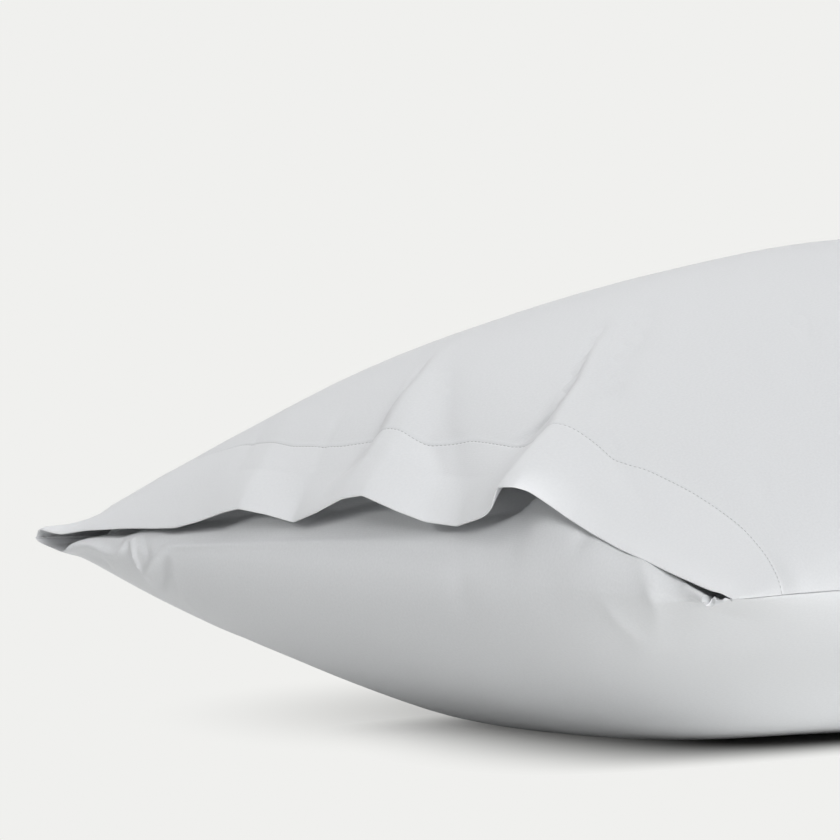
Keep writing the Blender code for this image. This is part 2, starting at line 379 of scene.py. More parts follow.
# The same on the front panel, in u and v.
PANEL_CREASES = [
    (-2.0, 2.6, ((-0.900, -0.318, 0.2), (-0.885, -0.332, 0.7), (-0.858, -0.352, 1.2), (-0.834, -0.336, 1.1),
                 (-0.801, -0.298, 1.1), (-0.726, -0.201, 1.0), (-0.688, -0.157, 0.7), (-0.650, -0.110, 0.1))),
    (-1.1, 2.2, ((-0.950, 0.022, 0.3), (-0.932, 0.033, 0.6), (-0.895, 0.075, 0.9), (-0.857, 0.111, 1.0),
                 (-0.823, 0.136, 1.2), (-0.780, 0.193, 0.8), (-0.750, 0.228, 0.2))),
    (-2.4, 6.5, ((-0.845, -0.466, 0.3), (-0.809, -0.417, 1.0), (-0.767, -0.361, 1.0), (-0.696, -0.271, 0.9),
                 (-0.632, -0.192, 0.7), (-0.585, -0.128, 0.2))),
    (-0.7, 5.0, ((-0.786, 0.101, 0.3), (-0.852, -0.035, 0.8), (-0.893, -0.115, 1.0), (-0.910, -0.170, 1.0),
                 (-0.947, -0.248, 0.8), (-0.972, -0.293, 0.3))),
    (-0.5, 3.0, ((-0.844, 0.547, 0.4), (-0.894, 0.478, 1.0), (-0.928, 0.431, 1.0), (-0.960, 0.380, 0.4))),
    (-0.6, 2.4, ((-0.860, 0.262, 0.3), (-0.875, 0.247, 0.8), (-0.902, 0.220, 1.0), (-0.916, 0.205, 1.0),
                 (-0.945, 0.170, 0.5))),
    (-1.3, 6.0, ((-0.790, -0.780, 0.3), (-0.818, -0.832, 0.9), (-0.852, -0.911, 1.0), (-0.873, -0.964, 1.0),
                 (-0.877, -0.997, 0.6))),
    (-0.9, 9.0, ((-0.500, -0.400, 0.3), (-0.540, -0.479, 1.0), (-0.590, -0.579, 1.0), (-0.630, -0.687, 0.8),
                 (-0.652, -0.755, 0.3))),
    (-0.5, 5.0, ((-0.460, -0.300, 0.3), (-0.484, -0.350, 1.0), (-0.520, -0.443, 1.0), (-0.553, -0.545, 0.8),
                 (-0.579, -0.653, 0.2))),
    (-0.7, 9.0, ((-0.656, -0.596, 0.5), (-0.736, -0.714, 1.0), (-0.794, -0.795, 0.5))),
    (-0.9, 6.0, ((-0.895, -0.580, 0.4), (-0.908, -0.625, 1.0), (-0.921, -0.670, 1.0), (-0.933, -0.730, 0.4))),
    (-0.7, 2.4, ((-0.865, -0.520, 0.3), (-0.880, -0.558, 1.0), (-0.900, -0.590, 0.5))),
    # The hem lies flat at the far corner, beyond the filling.
    (-1.7, 9.0, ((-0.975, 0.915, 0.4), (-0.965, 0.905, 0.8), (-0.957, 0.892, 1.0), (-0.952, 0.872, 0.6),
                 (-0.945, 0.850, 0.0))),
    # Broad soft hollows and swellings of the filling along the crown.
    (-1.0, 32.0, ((-0.900, 0.760, 0.9), (-0.872, 0.725, 1.0), (-0.840, 0.690, 0.8))),
    (0.8, 30.0, ((-0.710, 0.510, 0.9), (-0.690, 0.475, 1.0), (-0.670, 0.440, 0.9))),
    (-1.0, 40.0, ((-0.560, 0.375, 0.8), (-0.490, 0.330, 1.0), (-0.420, 0.225, 0.6))),
    (0.5, 40.0, ((-0.230, 0.090, 1.0), (-0.190, 0.060, 1.0))),
]


def column(table, index):
    return np.array([row[index] for row in table], float)


def read(table, index, v):
    """Column index of a table at v, with straight runs between rows."""
    return np.interp(v, column(table, 0)[::-1], column(table, index)[::-1])


def rounded(table, index, v, radius):
    """The same, with its corners rounded over about radius."""
    fine = np.linspace(-1.0, 1.0, 2001)
    values = read(table, index, fine)
    reach = max(int(3 * radius / 0.001), 1)
    k = np.exp(-0.5 * (np.arange(-reach, reach + 1) * 0.001 / radius) ** 2)
    k /= k.sum()
    padded = np.concatenate((np.full(reach, values[0]), values, np.full(reach, values[-1])))
    return np.interp(v, fine, np.convolve(padded, k, mode="valid"))


def bordered(v):
    """The same values with one more just inside either end."""
    return np.concatenate((v[:1], v[:1] + BORDER, v[1:-1], v[-1:] - BORDER, v[-1:]))


def tuck(points, u, v, gape=0.0):
    """The cloths are sewn together a little inside their outer border. gape is
    how far the border hangs off the other cloth beside the hem."""
    points = points.copy()
    rim = np.abs(np.abs(v) - (1.0 - BORDER)) < 0.2 * BORDER
    points[..., 2] -= gape * rim * np.exp(-((u + 0.960) / 0.030) ** 2)
    sides = (np.abs(v) == 1.0) * smooth((u + 0.995) / 0.02)
    points[..., 1] -= np.sign(v) * SEAM_TUCK * sides
    points[..., 0] -= SEAM_TUCK * (u == 1.0)
    return points


FINE_V = np.linspace(-1.0, 1.0, 1601)
FINE_S = np.linspace(0.0, 5.0, 201)


def fold_field():
    """Lift over FINE_S and FINE_V, in metres."""
    lines = np.array(FOLD_LINES)
    out = np.zeros((len(FINE_S), len(FINE_V)))
    for i, s in enumerate(FINE_S):
        v = np.array([np.interp(s, STATIONS, row[0::2]) for row in lines])
        h = np.array([np.interp(s, STATIONS, row[1::2]) for row in lines])
        order = np.argsort(v)
        profile = np.interp(FINE_V, v[order], h[order])
        # Near the free edge the true edge's own corners show.
        if s < 1.0:
            edge = read(HEM_EDGE, 2, FINE_V)
            keep = (1.0 - s) ** 2
            profile = profile * (1.0 - keep) + edge * keep
        radius = np.interp(s, (0.0, 1.0, 2.0, 3.0, 5.0), (0.003, 0.008, 0.010, 0.014, 0.04))
        step = FINE_V[1] - FINE_V[0]
        reach = int(3 * radius / step) + 1
        k = np.exp(-0.5 * (np.arange(-reach, reach + 1) * step / radius) ** 2)
        k /= k.sum()
        wide = np.pad(profile, reach, mode="edge")
        out[i] = np.convolve(wide, k, mode="valid")
    return out * CM


FOLDS = fold_field()


def fold_lift(s, v):
    """Bilinear reading of the fold field."""
    i = np.clip(s / FINE_S[-1] * (len(FINE_S) - 1), 0, len(FINE_S) - 1.001)
    j = np.clip((v + 1.0) / 2.0 * (len(FINE_V) - 1), 0, len(FINE_V) - 1.001)
    a, b = i.astype(int), j.astype(int)
    x, y = i - a, j - b
    return ((FOLDS[a, b] * (1 - x) + FOLDS[a + 1, b] * x) * (1 - y)
            + (FOLDS[a, b + 1] * (1 - x) + FOLDS[a + 1, b + 1] * x) * y)


# ------------------------------------------------------------ mesh helpers
SHARP = math.radians(38.0)


def build_mesh(name, points, faces, cloth=None, hem=None):
    mesh = bpy.data.meshes.new(name)
    mesh.from_pydata(points.reshape(-1, 3).tolist(), [], faces)
    mesh.update()
    shape = bmesh.new()
    shape.from_mesh(mesh)
    bmesh.ops.recalc_face_normals(shape, faces=shape.faces)
    # A border keeps its own shading on each side.
    for edge in shape.edges:
        edge.smooth = edge.calc_face_angle(0.0) < SHARP
    shape.to_mesh(mesh)
    shape.free()
    mesh.shade_smooth()
    if cloth is not None:
        layer = mesh.attributes.new("cloth", "FLOAT_VECTOR", "POINT")
        layer.data.foreach_set("vector", cloth.astype(np.float32).ravel())
    if hem is not None:
        layer = mesh.attributes.new("hem", "FLOAT", "POINT")
        layer.data.foreach_set("value", hem.astype(np.float32).ravel())
    obj = bpy.data.objects.new(name, mesh)
    bpy.context.scene.collection.objects.link(obj)
    return obj


def quads(first, rows, cols, flip=False):
    """Faces of a grid whose vertices start at first."""
    i, j = np.meshgrid(np.arange(rows - 1), np.arange(cols - 1), indexing="ij")
    a = first + i * cols + j
    q = np.stack((a, a + cols, a + cols + 1, a + 1), -1).reshape(-1, 4)
    return (q[:, ::-1] if flip else q).tolist()


def strip(ring_a, ring_b):
    """Faces between two rows of vertices."""
    return [[ring_a[k], ring_b[k], ring_b[k + 1], ring_a[k + 1]]
            for k in range(len(ring_a) - 1)]


def cloth_lengths(points):
    """Distances along the cloth, down the rows and across the columns."""
    down = np.linalg.norm(np.diff(points, axis=0), axis=-1)
    down = np.vstack((np.zeros(points.shape[1]), np.cumsum(down, axis=0)))
    side = np.linalg.norm(np.diff(points, axis=1), axis=-1)
    side = np.hstack((np.zeros((points.shape[0], 1)), np.cumsum(side, axis=1)))
    side = side - side[:, points.shape[1] // 2][:, None]
    return np.stack((down, side, np.zeros_like(down)), -1)


def catmull(points, steps=8):
    """A smooth run through rows of numbers."""
    p = np.array(points, float)
    p = np.vstack((2 * p[0] - p[1], p, 2 * p[-1] - p[-2]))
    out = []
    for i in range(1, len(p) - 2):
        for t in np.arange(steps) / steps:
            a, b, c, d = p[i - 1], p[i], p[i + 1], p[i + 2]
            out.append(0.5 * (2 * b + (c - a) * t + (2 * a - 5 * b + 4 * c - d) * t * t
                              + (3 * b - a - 3 * c + d) * t ** 3))
    out.append(p[-2])
    return np.array(out)


def relief(base, creases, place):
    """Heights in metres that the creases add at points of the shell."""
    flat = base.reshape(-1, 3)
    out = np.zeros(len(flat))
    for height, width, path in creases:
        path = catmull(path)
        line, weight = place(path[:, 0], path[:, 1]), np.clip(path[:, 2], 0.0, None)
        wide = width * MM
        reach = 3.2 * wide
        near = np.all((flat > line.min(0) - reach) & (flat < line.max(0) + reach), axis=1)
        p = flat[near]
        best = np.full(len(p), 9.0)
        w = np.zeros(len(p))
        for k in range(len(line) - 1):
            a, d = line[k], line[k + 1] - line[k]
            t = np.clip(((p - a) @ d) / max(float(d @ d), 1e-12), 0.0, 1.0)
            r = np.linalg.norm(p - a - t[:, None] * d, axis=1)
            closer = r < best
            best = np.where(closer, r, best)
            w = np.where(closer, weight[k] * (1 - t) + weight[k + 1] * t, w)
        out[near] += height * MM * w * np.exp(-(best / wide) ** 2)
    return out.reshape(base.shape[:-1])


def seam_puckers(seed, hollow):
    """Short creases that the seams and the corners of the sewn end draw into the
    cloth, in u and v. hollow is the greatest depth beside the ridges, in mm."""
    rng = np.random.default_rng(seed)
    out = []

    def add(start, end, height, width):
        (u0, v0), (u1, v1) = start, end
        bow = rng.uniform(-0.015, 0.015)
        steps = ((0.0, 0.7), (0.25, 1.0), (0.6, 0.6), (1.0, 0.0))
        out.append((height, width, tuple(
            (u0 + (u1 - u0) * t + bow * t * (1.0 - t), v0 + (v1 - v0) * t + bow * t, w) for t, w in steps)))

    def size(k):
        return rng.uniform(0.7, 1.3) if k % 2 == 0 else -rng.uniform(0.4, 1.0) * hollow

    for k in range(15):
        v = -0.84 + 0.12 * k + rng.uniform(-0.03, 0.03)
        add((0.996, v), (rng.uniform(0.86, 0.93), v * 0.97), size(k), rng.uniform(3.5, 7.0))
    for side in (-1.0, 1.0):
        for k in range(9):
            u = 0.14 + 0.085 * k + rng.uniform(-0.02, 0.02)
            add((u, side * 0.992), (u - 0.03, side * rng.uniform(0.82, 0.90)), 0.8 * size(k), rng.uniform(4.0, 8.0))
        # Long soft creases from the corner towards the middle.
        for k, (u, v) in enumerate(((0.86, 0.52), (0.78, 0.66), (0.70, 0.74), (0.60, 0.84))):
            add((0.965, side * 0.955), (u, side * v), (2.1, -1.2 * hollow, 1.7, -hollow)[k], rng.uniform(7.0, 10.0))
    return out


def zip_rings(a, pa, b, pb):
    """Triangles between two runs of vertices placed along one length."""
    faces, i, j = [], 0, 0
    while i < len(a) - 1 or j < len(b) - 1:
        if j == len(b) - 1 or (i < len(a) - 1 and pa[i + 1] <= pb[j + 1]):
            faces.append([a[i], a[i + 1], b[j]])
            i += 1
        else:
            faces.append([a[i], b[j + 1], b[j]])
            j += 1
    return faces


# ------------------------------------------------------------- front panel
COLS = bordered(spread(280, lambda v: 1.0 + 1.1 * np.exp(-((v + 0.50) / 0.14) ** 2)
              + 0.5 * np.exp(-((v - 0.05) / 0.3) ** 2)
              + 2.0 * np.exp(-(1.0 - np.abs(v)) / 0.03) + 9.0 * np.exp(-(1.0 - np.abs(v)) / 0.006)))
HEM_ROWS = 46
BODY_ROWS = 170
HEM_THICK = 0.75 * MM
CLOTH_THICK = 0.4 * MM
EDGE_FLARE = 1.4 * MM


def panel_surface():
    """The front panel's outer face, and where each of its points lies."""
    v = COLS[None, :]
    edge_u = rounded(HEM_EDGE, 1, v, 0.004)
    stitch_u = rounded(STITCH_LINE, 1, v, 0.008)

    t = spread(HEM_ROWS, lambda t: 1.0 + 2.0 * np.exp(-(1.0 - t) / 0.06) + 1.5 * np.exp(-t / 0.05), 0.0, 1.0)
    hem_u = edge_u + (stitch_u - edge_u) * t[:, None]
    hem_s = np.broadcast_to(2.0 * t[:, None], hem_u.shape)

    t2 = spread(BODY_ROWS, lambda t: 1.0 + 4.0 * np.exp(-t / 0.012) + 1.8 * np.exp(-t / 0.12)
                + 3.0 * np.exp(-(1.0 - t) / 0.02), 0.0, 1.0)[1:]
    t2 = np.concatenate((t2[:-1], [1.0 - BORDER / 2.0], t2[-1:]))
    rest_u = stitch_u + (1.0 - stitch_u) * t2[:, None]
    rest_u[-1] = 1.0
    first = np.broadcast_to(stitch_u, rest_u.shape)
    rest_s = np.where(
        rest_u < -0.80, 2.0 + (rest_u - first) / (-0.80 - first),
        np.where(rest_u < -0.70, 3.0 + (rest_u + 0.80) / 0.10, 4.0 + (rest_u + 0.70) / 0.10))
    u = np.vstack((hem_u, rest_u))
    s = np.vstack((hem_s, np.clip(rest_s, 2.0, 5.0)))
    v = np.broadcast_to(v, u.shape)

    base = shell(u, v, True)
    normal = grid_normals(base)
    lengths = cloth_lengths(base)
    lift = fold_lift(s, v) + relief(base, PANEL_CREASES, lambda a, b: shell(a, b, True))
    border = smooth((1.0 - np.abs(v)) / 0.012) * smooth((1.0 - u) / 0.006)
    lift = lift + border * relief(base, seam_puckers(21, 0.5), lambda a, b: shell(a, b, True))
    # Soft unevenness of the cloth over the filling, gone at the seams and the hem.
    calm = smooth((u + 0.90) / 0.25) * smooth((1.0 - np.abs(u)) / 0.15) * smooth((1.0 - np.abs(v)) / 0.2)
    lift = lift + (0.25 + 0.75 * smooth((u - 0.25) / 0.3)) * MM * calm * ripple(lengths[..., 0], lengths[..., 1], 0.13, 3)
    # The hem stands off a little towards its free edge.
    lift = lift + EDGE_FLARE * np.exp(-(lengths[..., 0] / ((20.0 - 13.0 * smooth((v - 0.70) / 0.15)) * MM)) ** 2) * smooth((1.0 - np.abs(v)) / 0.03)
    out = tuck(base + normal * lift[..., None], u, v)
    return dict(u=u, v=v, s=s, lengths=lengths, out=out)


def make_front_panel():
    f = panel_surface()
    out = f["out"]
    n = grid_normals(out)
    rows, cols = out.shape[:2]

    # The hem is two layers of cloth: thicker, and slightly proud of the rest.
    along = cloth_lengths(out)[..., 0]
    from_stitch = along - along[HEM_ROWS]
    in_hem = 1.0 - smooth((from_stitch + 0.2 * MM) / (2.6 * MM))
    groove = np.exp(-(from_stitch / (0.6 * MM)) ** 2)
    inside = np.abs(f["v"]) < 1.0
    out = out + n * (inside * (0.30 * MM * in_hem - 0.55 * MM * groove))[..., None]
    thick = CLOTH_THICK + (HEM_THICK - CLOTH_THICK) * in_hem

    # The inner face carries every row of the hem and every fifth row beyond.
    keep = np.array(list(range(HEM_ROWS + 6)) + list(range(HEM_ROWS + 6, rows - 1, 5)) + [rows - 1])
    keep = np.unique(keep)
    inner = (out - n * thick[..., None])[keep]

    # The hem's folded edge is round.
    centre = (out[0] + inner[0]) / 2.0
    ahead = -(out[1] - out[0])
    ahead -= n[0] * np.sum(ahead * n[0], -1, keepdims=True)
    ahead /= np.linalg.norm(ahead, axis=-1, keepdims=True)
    turns = []
    for angle in (45.0, 90.0, 135.0):
        a = math.radians(angle)
        turns.append(centre + HEM_THICK / 2.0 * (n[0] * math.cos(a) + ahead * math.sin(a)))
    turns = np.array(turns)

    points = np.concatenate((out.reshape(-1, 3), inner.reshape(-1, 3), turns.reshape(-1, 3)))
    first_in = rows * cols
    first_turn = first_in + len(keep) * cols
    faces = quads(0, rows, cols) + quads(first_in, len(keep), cols, flip=True)
    ring = lambda first: list(range(first, first + cols))
    loops = [ring(0), ring(first_turn), ring(first_turn + cols), ring(first_turn + 2 * cols), ring(first_in)]
    for a, b in zip(loops[:-1], loops[1:]):
        faces += strip(b, a)
    # The far seam's edge and the two long sides.
    faces += strip(ring((rows - 1) * cols), ring(first_in + (len(keep) - 1) * cols))
    place, place_in = np.arange(rows), keep
    for side in (0, cols - 1):
        outer = [k * cols + side for k in range(rows)]
        inside = [first_in + k * cols + side for k in range(len(keep))]
        tris = zip_rings(outer, place, inside, place_in)
        faces += tris if side == 0 else [t[::-1] for t in tris]
    # The small ends of the round edge.
    for side, order in ((0, -1), (cols - 1, 1)):
        faces.append([loop[side] for loop in loops][::order])

    cloth = f["lengths"]
    cloth = np.concatenate((cloth.reshape(-1, 3), cloth[keep].reshape(-1, 3), np.tile(cloth[0], (3, 1))))
    # 1 on the two layers of the hem, and more towards the folded edge, where it is a painted highlight.
    layers_and_edge_highlight = in_hem + 2.0 * np.exp(-(along / (11.0 * MM)) ** 2)
    hem = np.concatenate((layers_and_edge_highlight.ravel(), layers_and_edge_highlight[keep].ravel(), np.tile(layers_and_edge_highlight[0], 3)))
    obj = build_mesh("front_panel_cloth", points, faces, cloth, hem)
    return obj, f, out, n


# -------------------------------------------------------------- back panel
BACK_COLS = bordered(spread(250, lambda v: 1.0 + 1.6 * np.exp(-((v - 0.72) / 0.17) ** 4)
                   + 2.2 * np.exp(-((v + 0.93) / 0.10) ** 4)
                   + 2.0 * np.exp(-(1.0 - np.abs(v)) / 0.03) + 9.0 * np.exp(-(1.0 - np.abs(v)) / 0.006)))


def wrap(turn, v):
    """Points of the shell by angle round the open end, above 0 on top."""
    return shell(-np.cos(turn), v, turn > 0.0)


def make_back_panel():
    """The wrapped end and the underside, then the hidden face under the front."""
    start = math.acos(0.88)
    turn = spread(250, lambda t: 1.0 + 5.0 * np.exp(-((t - 0.02) / 0.33) ** 4)
                  + 2.0 * np.exp(-(math.pi + t) / 0.06), -math.pi, start)[::-1]
    v = np.broadcast_to(BACK_COLS[None, :], (len(turn), len(BACK_COLS)))
    turn = np.broadcast_to(turn[:, None], v.shape)
    base = wrap(turn, v)
    # Rows run from under the hem, round the end and along the underside.
    n = -grid_normals(base)
    lengths = cloth_lengths(base)

    edge = np.arccos(-read(HEM_EDGE, 1, v))
    lip = rounded(LIP, 1, v, 0.003)
    inset = 1.2 * MM * smooth(turn / np.maximum(edge, 0.02))
    raised = relief(base, BODY_CREASES, wrap) * smooth((1.0 - np.abs(v)) / 0.012)
    puckers = [(h, w, [(-math.acos(max(-u, -1.0)), at, k) for u, at, k in path])
               for h, w, path in seam_puckers(34, 1.0)]
    border = smooth((1.0 - np.abs(v)) / 0.012) * smooth((math.pi + turn) / 0.08)
    raised = raised + border * relief(base, puckers, wrap)
    # Towards the near side the filling swells out and carries the lifted hem.
    near = smooth((-v - 0.49) / 0.07) * (1.0 - smooth((-v - 0.885) / 0.035))
    off = turn - (np.maximum(edge, lip) - 0.01)
    swell = np.exp(-(off / np.where(off > 0.0, 0.06, 0.20)) ** 2)
    raised = raised + rounded(SWELL, 1, v, 0.02) * CM * swell
    calm = smooth((-turn - 0.05) / 0.3) * smooth((1.0 - np.abs(v)) / 0.25) * smooth((math.pi + turn) / 0.4)
    raised = raised + 0.8 * MM * calm * ripple(lengths[..., 0], lengths[..., 1], 0.12, 11)
    out = tuck(base + n * (raised - inset)[..., None], -np.cos(turn), v, 0.35 * MM)

    # Above the lip the cloth falls back, straight into the opening.
    corner = smooth((np.abs(v) - 0.80) / 0.15)
    depth = (13.0 + 18.0 * smooth((v - 0.84) / 0.08) - 12.5 * near - 5.0 * smooth((-v - 0.885) / 0.035)) * MM
    back = depth * smooth((turn - lip + 0.008) / 0.060) * (1.0 - smooth((turn - 0.36) / 0.105))
    inward = np.stack((np.ones_like(v), -0.8 * v ** 9, np.zeros_like(v)), -1)
    inward /= np.linalg.norm(inward, axis=-1, keepdims=True)
    out = out + inward * back[..., None]
    squeeze = 0.6 * corner * np.clip(back / depth, 0.0, 1.0)
    out[..., 2] += (SEAM_HEIGHT - out[..., 2]) * squeeze
    out[..., 2] = np.maximum(out[..., 2], 0.0)

    rows, cols = out.shape[:2]
    # The hidden face: from the first row, under the front panel, to the sewn end.
    t = np.linspace(0.0, 1.0, 42)[1:-1]
    hid_u = -0.88 + (1.0 - -0.88) * t
    hid_v = np.broadcast_to(BACK_COLS[None, :], (len(t), cols))
    hid_base = shell(np.broadcast_to(hid_u[:, None], hid_v.shape), hid_v, True)
    hid = tuck(hid_base - grid_normals(hid_base) * 1.2 * MM, np.broadcast_to(hid_u[:, None], hid_v.shape), hid_v)

    points = np.concatenate((out.reshape(-1, 3), hid.reshape(-1, 3)))
    count = rows * cols
    faces = quads(0, rows, cols, flip=True) + quads(count, len(t), cols)
    ring = lambda first: list(range(first, first + cols))
    faces += strip(ring(0), ring(count))
    faces += strip(ring(count + (len(t) - 1) * cols), ring((rows - 1) * cols))
    # The long sides, closed between the border above the seam and the one below.
    u = -np.cos(turn[:, 0])
    above = int(np.sum(turn[:, 0] > 0.0))
    for side in (0, cols - 1):
        low = [k * cols + side for k in range(above - 1, rows)]
        top = [k * cols + side for k in range(above - 1, -1, -1)]
        top += [count + k * cols + side for k in range(len(t))] + [low[-1]]
        place_low = [-1.0] + list(u[above:])
        place_top = [-1.0] + list(u[above - 2::-1] if above > 1 else []) + list(hid_u) + [1.0]
        tris = [f for f in zip_rings(low, place_low, top, place_top) if len(set(f)) == 3]
        faces += tris if side == cols - 1 else [f[::-1] for f in tris]
    cloth = np.concatenate((lengths.reshape(-1, 3), cloth_lengths(hid_base).reshape(-1, 3)))
    return build_mesh("back_panel_cloth", points, faces, cloth)


# ---------------------------------------------------------------- stitches
def make_stitches(surface, normals):
    """One line of lock stitches along the hem, each a short sunken thread."""
    line = surface[HEM_ROWS]
    n = normals[HEM_ROWS]
    step = np.linalg.norm(np.diff(line, axis=0), axis=-1)
    along = np.concatenate(([0.0], np.cumsum(step)))
    pitch, length, radius = 2.2 * MM, 1.5 * MM, 0.19 * MM
    rng = np.random.default_rng(7)
    points, faces = [], []
    where = np.arange(1.5 * MM, along[-1] - 1.5 * MM, pitch)
    ring = 6
    for centre in where:
        a = centre - length / 2.0
        b = centre + length / 2.0
        pa = np.array([np.interp(a, along, line[:, k]) for k in range(3)])
        pb = np.array([np.interp(b, along, line[:, k]) for k in range(3)])
        up = np.array([np.interp(centre, along, n[:, k]) for k in range(3)])
        up /= np.linalg.norm(up)
        d = pb - pa
        d /= np.linalg.norm(d)
        side = np.cross(up, d)
        first = len(points)
        for t, r, rise in ((0.0, 0.25, -0.10), (0.18, 0.85, 0.05), (0.5, 1.0, 0.10), (0.82, 0.85, 0.05), (1.0, 0.25, -0.10)):
            mid = pa + (pb - pa) * t + up * rise * MM
            for k in range(ring):
                ang = math.tau * k / ring
                points.append(mid + radius * r * (side * math.cos(ang) + up * math.sin(ang)))
        for row in range(4):
            for k in range(ring):
                a0 = first + row * ring + k
                a1 = first + row * ring + (k + 1) % ring
                faces.append([a0, a1, a1 + ring, a0 + ring])
        faces.append([first + k for k in range(ring)][::-1])
        faces.append([first + 4 * ring + k for k in range(ring)])
    pts = np.array(points)
    return build_mesh("hem_stitches", pts, faces, pts)


# --------------------------------------------------------------- materials
def sateen(name, painted_shade_tone=1.0):
    material = bpy.data.materials.new(name)
    material.use_nodes = True
    nodes, links = material.node_tree.nodes, material.node_tree.links
    shader = nodes["Principled BSDF"]
    shader.inputs["Roughness"].default_value = 0.62
    shader.inputs["Specular IOR Level"].default_value = 0.25
    shader.inputs["Sheen Weight"].default_value = 0.12
    shader.inputs["Sheen Roughness"].default_value = 0.45

    place = nodes.new("ShaderNodeAttribute")
    place.attribute_name = "cloth"

    # Fine uneven tone, as of slightly uneven yarn.
    noise = nodes.new("ShaderNodeTexNoise")
    noise.inputs["Scale"].default_value = 900.0
    noise.inputs["Detail"].default_value = 2.0
    links.new(place.outputs["Vector"], noise.inputs["Vector"])
    # The tone factor darkens both colours; for the thread it is painted shade.
    ramp = nodes.new("ShaderNodeMix")
    ramp.data_type = "RGBA"
    ramp.inputs["A"].default_value = (0.586 * painted_shade_tone, 0.597 * painted_shade_tone, 0.612 * painted_shade_tone, 1.0)
    ramp.inputs["B"].default_value = (0.666 * painted_shade_tone, 0.677 * painted_shade_tone, 0.692 * painted_shade_tone, 1.0)
    links.new(noise.outputs["Fac"], ramp.inputs["Factor"])
    # Where two layers lie on each other less light passes, and the cloth is whiter; towards the hem's folded edge
    # it is whiter still, a painted highlight.
    hem = nodes.new("ShaderNodeAttribute")
    hem.attribute_name = "hem"
    whiter = nodes.new("ShaderNodeMath")
    whiter.operation = "MULTIPLY"
    whiter.inputs[1].default_value = 0.16
    links.new(hem.outputs["Fac"], whiter.inputs[0])
    layers_and_edge_highlight_mix = nodes.new("ShaderNodeMix")
    layers_and_edge_highlight_mix.data_type = "RGBA"
    layers_and_edge_highlight_mix.inputs["B"].default_value = (0.745, 0.757, 0.773, 1.0)
    links.new(whiter.outputs["Value"], layers_and_edge_highlight_mix.inputs["Factor"])
    links.new(ramp.outputs["Result"], layers_and_edge_highlight_mix.inputs["A"])
    links.new(layers_and_edge_highlight_mix.outputs["Result"], shader.inputs["Base Color"])

    # The weave: fine ribs one way, broken by the crossing yarn.
    rib = nodes.new("ShaderNodeTexWave")
    rib.bands_direction = "Y"
    rib.inputs["Scale"].default_value = 520.0
    rib.inputs["Distortion"].default_value = 1.2
    rib.inputs["Detail"].default_value = 1.0
    links.new(place.outputs["Vector"], rib.inputs["Vector"])
    cross = nodes.new("ShaderNodeTexWave")
    cross.bands_direction = "X"
    cross.inputs["Scale"].default_value = 340.0
    cross.inputs["Distortion"].default_value = 1.2
    cross.inputs["Detail"].default_value = 1.0
    links.new(place.outputs["Vector"], cross.inputs["Vector"])
    both = nodes.new("ShaderNodeMath")
    both.operation = "ADD"
    links.new(rib.outputs["Fac"], both.inputs[0])
    links.new(cross.outputs["Fac"], both.inputs[1])
    bump = nodes.new("ShaderNodeBump")
    bump.inputs["Strength"].default_value = 0.12
    bump.inputs["Distance"].default_value = 0.0001
    links.new(both.outputs["Value"], bump.inputs["Height"])
    links.new(bump.outputs["Normal"], shader.inputs["Normal"])
    return material


panel, field, surface, normals = make_front_panel()
panel.data.materials.append(sateen("front_sateen"))
back = make_back_panel()
back.data.materials.append(sateen("back_sateen"))
stitches = make_stitches(surface, normals)
# The thread gets a lower tone than the cloth: painted shade along the stitch line, the thread itself being white.
stitches.data.materials.append(sateen("thread", 0.68))

for piece in (panel, back, stitches):
    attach(piece, "root")
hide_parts("front_panel")
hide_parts("back_panel_filled")


# ------------------------------------------------------- floor, light, camera
PALE = (0.871, 0.871, 0.855, 1.0)


